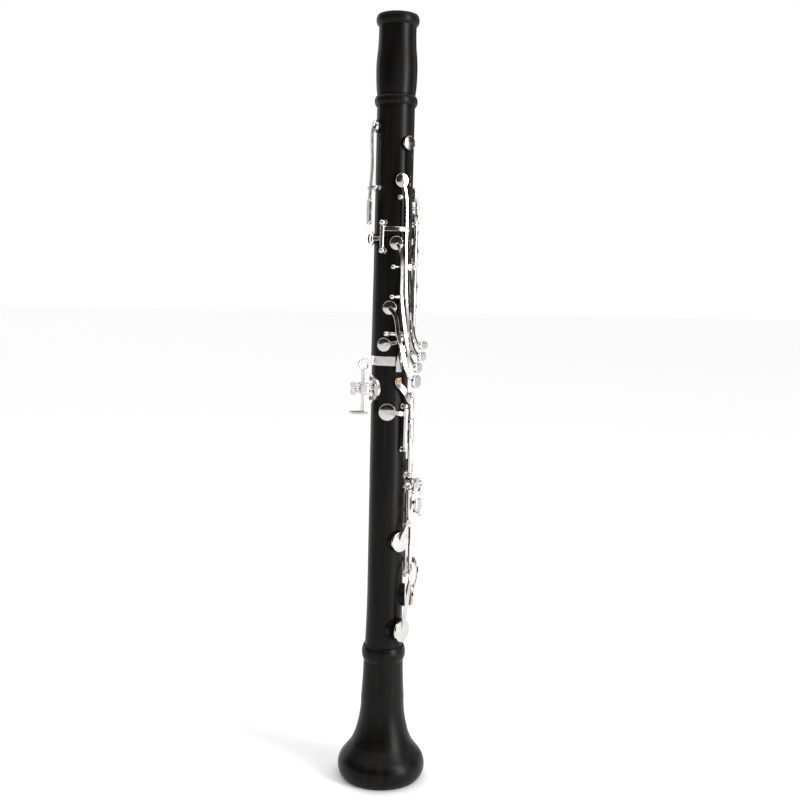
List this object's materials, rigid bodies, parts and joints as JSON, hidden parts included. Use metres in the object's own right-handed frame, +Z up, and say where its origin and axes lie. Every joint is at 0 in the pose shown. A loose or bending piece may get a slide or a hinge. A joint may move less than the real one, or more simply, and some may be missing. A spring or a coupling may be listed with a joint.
{
  "type": "clarinet body",
  "caption": "Boehm-system B-flat clarinet body without mouthpiece: black turned joints, silver-plated sprung keywork, flared bell and adjustable thumb rest.",
  "frame": {"origin": "centre of the bell's foot on the main axis", "axes": "+Z up the bore to the barrel, +X to the front where the finger holes are, -Y to the player's right"},
  "size_m": [0.0693, 0.0692, 0.594],
  "materials": {
    "blackwood": "satin",
    "silver": "polished",
    "steel": "satin",
    "pad": "matte",
    "cork": "matte",
    "ebonite": "gloss"
  },
  "bodies": {
    "root": {"barrel": "blackwood", "bell": "blackwood", "lower_cork": "cork", "lower_joint": "blackwood", "lower_posts": "silver", "lower_rods": "steel", "lower_springs": "steel", "register_tube": "silver", "socket_ring": "silver", "thumb_rest_base": "silver", "thumb_rest_screws": "steel", "thumb_tube": "ebonite", "upper_bottom_cork": "cork", "upper_joint": "blackwood", "upper_posts": "silver", "upper_rods": "steel", "upper_springs": "steel", "upper_top_cork": "cork"},
    "trill_4": {"trill_4_lever": "silver", "trill_4_pad": "pad"},
    "trill_3": {"trill_3_lever": "silver", "trill_3_pad": "pad"},
    "trill_2": {"trill_2_lever": "silver", "trill_2_pad": "pad"},
    "trill_1": {"trill_1_lever": "silver", "trill_1_pad": "pad"},
    "register": {"register_key": "silver", "register_pad": "pad"},
    "throat_a": {"throat_a_key": "silver", "throat_a_pad": "pad"},
    "throat_g": {"throat_g_key": "silver", "throat_g_pad": "pad"},
    "first_ring": {"first_ring_key": "silver", "first_ring_pad": "pad"},
    "second_ring": {"second_ring_key": "silver", "second_ring_pad": "pad"},
    "thumb_ring": {"thumb_ring_key": "silver"},
    "left_side": {"left_side_key": "silver", "left_side_pad": "pad"},
    "c_sharp": {"c_sharp_key": "silver", "c_sharp_pad": "pad"},
    "right_rings": {"right_ring_key": "silver", "right_rings_pad": "pad", "bridge_cork": "cork"},
    "right_side": {"right_side_key": "silver", "right_side_pad": "pad"},
    "e_key": {"e_key": "silver", "e_key_pad": "pad"},
    "f_key": {"f_key": "silver", "f_key_pad": "pad"},
    "a_flat": {"a_flat_key": "silver", "a_flat_pad": "pad"},
    "f_sharp": {"f_sharp_key": "silver", "f_sharp_pad": "pad"},
    "e_lever": {"e_lever": "silver"},
    "f_sharp_lever": {"f_sharp_lever": "silver"},
    "f_lever": {"f_lever": "silver"},
    "thumb_slide": {"thumb_rest_slide": "silver"},
    "clamp_screw": {"thumb_rest_thumbscrew": "silver"}
  },
  "joints": [
    {"name": "trill_4_hinge", "type": "hinge", "parent": "root", "child": "trill_4", "pos_m": [0.00061, -0.01739, 0.4054], "axis": [0.9994, 0.0349, 0], "range_deg": [0, 2], "stiffness_Nm_per_rad": 0.08, "springref_deg": -6.88},
    {"name": "trill_3_hinge", "type": "hinge", "parent": "root", "child": "trill_3", "pos_m": [0.00061, -0.01739, 0.4054], "axis": [0.9994, 0.0349, 0], "range_deg": [0, 2], "stiffness_Nm_per_rad": 0.08, "springref_deg": -6.88},
    {"name": "trill_2_hinge", "type": "hinge", "parent": "root", "child": "trill_2", "pos_m": [0.00061, -0.01739, 0.3828], "axis": [0.9994, 0.0349, 0], "range_deg": [0, 2.5], "stiffness_Nm_per_rad": 0.08, "springref_deg": -6.88},
    {"name": "trill_1_hinge", "type": "hinge", "parent": "root", "child": "trill_1", "pos_m": [-0.00242, -0.01723, 0.3548], "axis": [0.9903, -0.1392, 0], "range_deg": [0, 4], "stiffness_Nm_per_rad": 0.08, "springref_deg": -6.88},
    {"name": "register_hinge", "type": "hinge", "parent": "root", "child": "register", "pos_m": [-0.0174, 0, 0.465], "axis": [0, -1, 0], "range_deg": [0, 3], "stiffness_Nm_per_rad": 0.08, "springref_deg": -6.88},
    {"name": "throat_a_hinge", "type": "hinge", "parent": "root", "child": "throat_a", "pos_m": [0.0174, 0, 0.451], "axis": [0, 1, 0], "range_deg": [0, 8], "stiffness_Nm_per_rad": 0.08, "springref_deg": -6.88},
    {"name": "throat_g_hinge", "type": "hinge", "parent": "root", "child": "throat_g", "pos_m": [0.01448, 0.01215, 0.4642], "axis": [0, 0, -1], "range_deg": [0, 12], "stiffness_Nm_per_rad": 0.05, "springref_deg": -5.73},
    {"name": "first_ring_hinge", "type": "hinge", "parent": "root", "child": "first_ring", "pos_m": [0.01289, -0.01382, 0.4222], "axis": [0, 0, 1], "range_deg": [0, 5.33], "stiffness_Nm_per_rad": 0.05, "springref_deg": -5.73},
    {"name": "second_ring_hinge", "type": "hinge", "parent": "root", "child": "second_ring", "pos_m": [0.01289, -0.01382, 0.3772], "axis": [0, 0, 1], "range_deg": [0, 5.33], "stiffness_Nm_per_rad": 0.05, "springref_deg": -5.73},
    {"name": "thumb_ring_hinge", "type": "hinge", "parent": "root", "child": "thumb_ring", "pos_m": [-0.01382, -0.01289, 0.4272], "axis": [0, 0, -1], "range_deg": [0, 3.2], "stiffness_Nm_per_rad": 0.05, "springref_deg": -5.73},
    {"name": "left_side_hinge", "type": "hinge", "parent": "root", "child": "left_side", "pos_m": [0.00887, 0.01669, 0.3742], "axis": [0, 0, -1], "range_deg": [0, 11], "stiffness_Nm_per_rad": 0.05, "springref_deg": -5.73},
    {"name": "c_sharp_hinge", "type": "hinge", "parent": "root", "child": "c_sharp", "pos_m": [0.00745, -0.01528, 0.3582], "axis": [0, 0, 1], "range_deg": [0, 3], "stiffness_Nm_per_rad": 0.05, "springref_deg": -5.73},
    {"name": "right_rings_hinge", "type": "hinge", "parent": "root", "child": "right_rings", "pos_m": [0.01282, -0.01375, 0.2757], "axis": [0, 0, 1], "range_deg": [0, 5.36], "stiffness_Nm_per_rad": 0.05, "springref_deg": -5.73},
    {"name": "right_side_hinge", "type": "hinge", "parent": "root", "child": "right_side", "pos_m": [0.00704, -0.01743, 0.2827], "axis": [0, 0, 1], "range_deg": [0, 7.5], "stiffness_Nm_per_rad": 0.05, "springref_deg": -5.73},
    {"name": "e_key_hinge", "type": "hinge", "parent": "root", "child": "e_key", "pos_m": [0.01754, -0.00781, 0.2027], "axis": [0, 0, -1], "range_deg": [0, 11.26], "stiffness_Nm_per_rad": 0.05, "springref_deg": -5.73},
    {"name": "f_key_hinge", "type": "hinge", "parent": "root", "child": "f_key", "pos_m": [0.01863, 0.00464, 0.1957], "axis": [0, 0, -1], "range_deg": [0, 14.24], "stiffness_Nm_per_rad": 0.05, "springref_deg": -5.73},
    {"name": "a_flat_hinge", "type": "hinge", "parent": "root", "child": "a_flat", "pos_m": [0.01334, -0.01381, 0.2207], "axis": [0, 0, 1], "range_deg": [0, 9], "stiffness_Nm_per_rad": 0.05, "springref_deg": -5.73},
    {"name": "f_sharp_hinge", "type": "hinge", "parent": "root", "child": "f_sharp", "pos_m": [0.00067, 0.01919, 0.2067], "axis": [0, 0, -1], "range_deg": [0, 14.24], "stiffness_Nm_per_rad": 0.05, "springref_deg": -5.73},
    {"name": "e_lever_hinge", "type": "hinge", "parent": "root", "child": "e_lever", "pos_m": [0.00581, 0.01788, 0.2857], "axis": [0, 0, -1], "range_deg": [0, 5.64], "stiffness_Nm_per_rad": 0.05, "springref_deg": -5.73},
    {"name": "f_sharp_lever_hinge", "type": "hinge", "parent": "root", "child": "f_sharp_lever", "pos_m": [-0.00066, 0.01879, 0.2857], "axis": [0, 0, -1], "range_deg": [0, 7.13], "stiffness_Nm_per_rad": 0.05, "springref_deg": -5.73},
    {"name": "f_lever_hinge", "type": "hinge", "parent": "root", "child": "f_lever", "pos_m": [-0.00704, 0.01743, 0.2857], "axis": [0, 0, -1], "range_deg": [0, 7.13], "stiffness_Nm_per_rad": 0.05, "springref_deg": -5.73},
    {"name": "thumb_slide_travel", "type": "slide", "parent": "root", "child": "thumb_slide", "axis": [0, 0, 1], "range_m": [-0.006, 0.008]},
    {"name": "clamp_screw_turn", "type": "hinge", "parent": "root", "child": "clamp_screw", "pos_m": [-0.0275, 0, 0.31195], "axis": [-1, 0, 0], "range_deg": [-180, 180]}
  ],
  "couplings": [
    {"joint": "e_lever_hinge", "follows": "e_key_hinge", "ratio": 0.5},
    {"joint": "f_sharp_lever_hinge", "follows": "f_sharp_hinge", "ratio": 0.5},
    {"joint": "f_lever_hinge", "follows": "f_key_hinge", "ratio": 0.5}
  ]
}
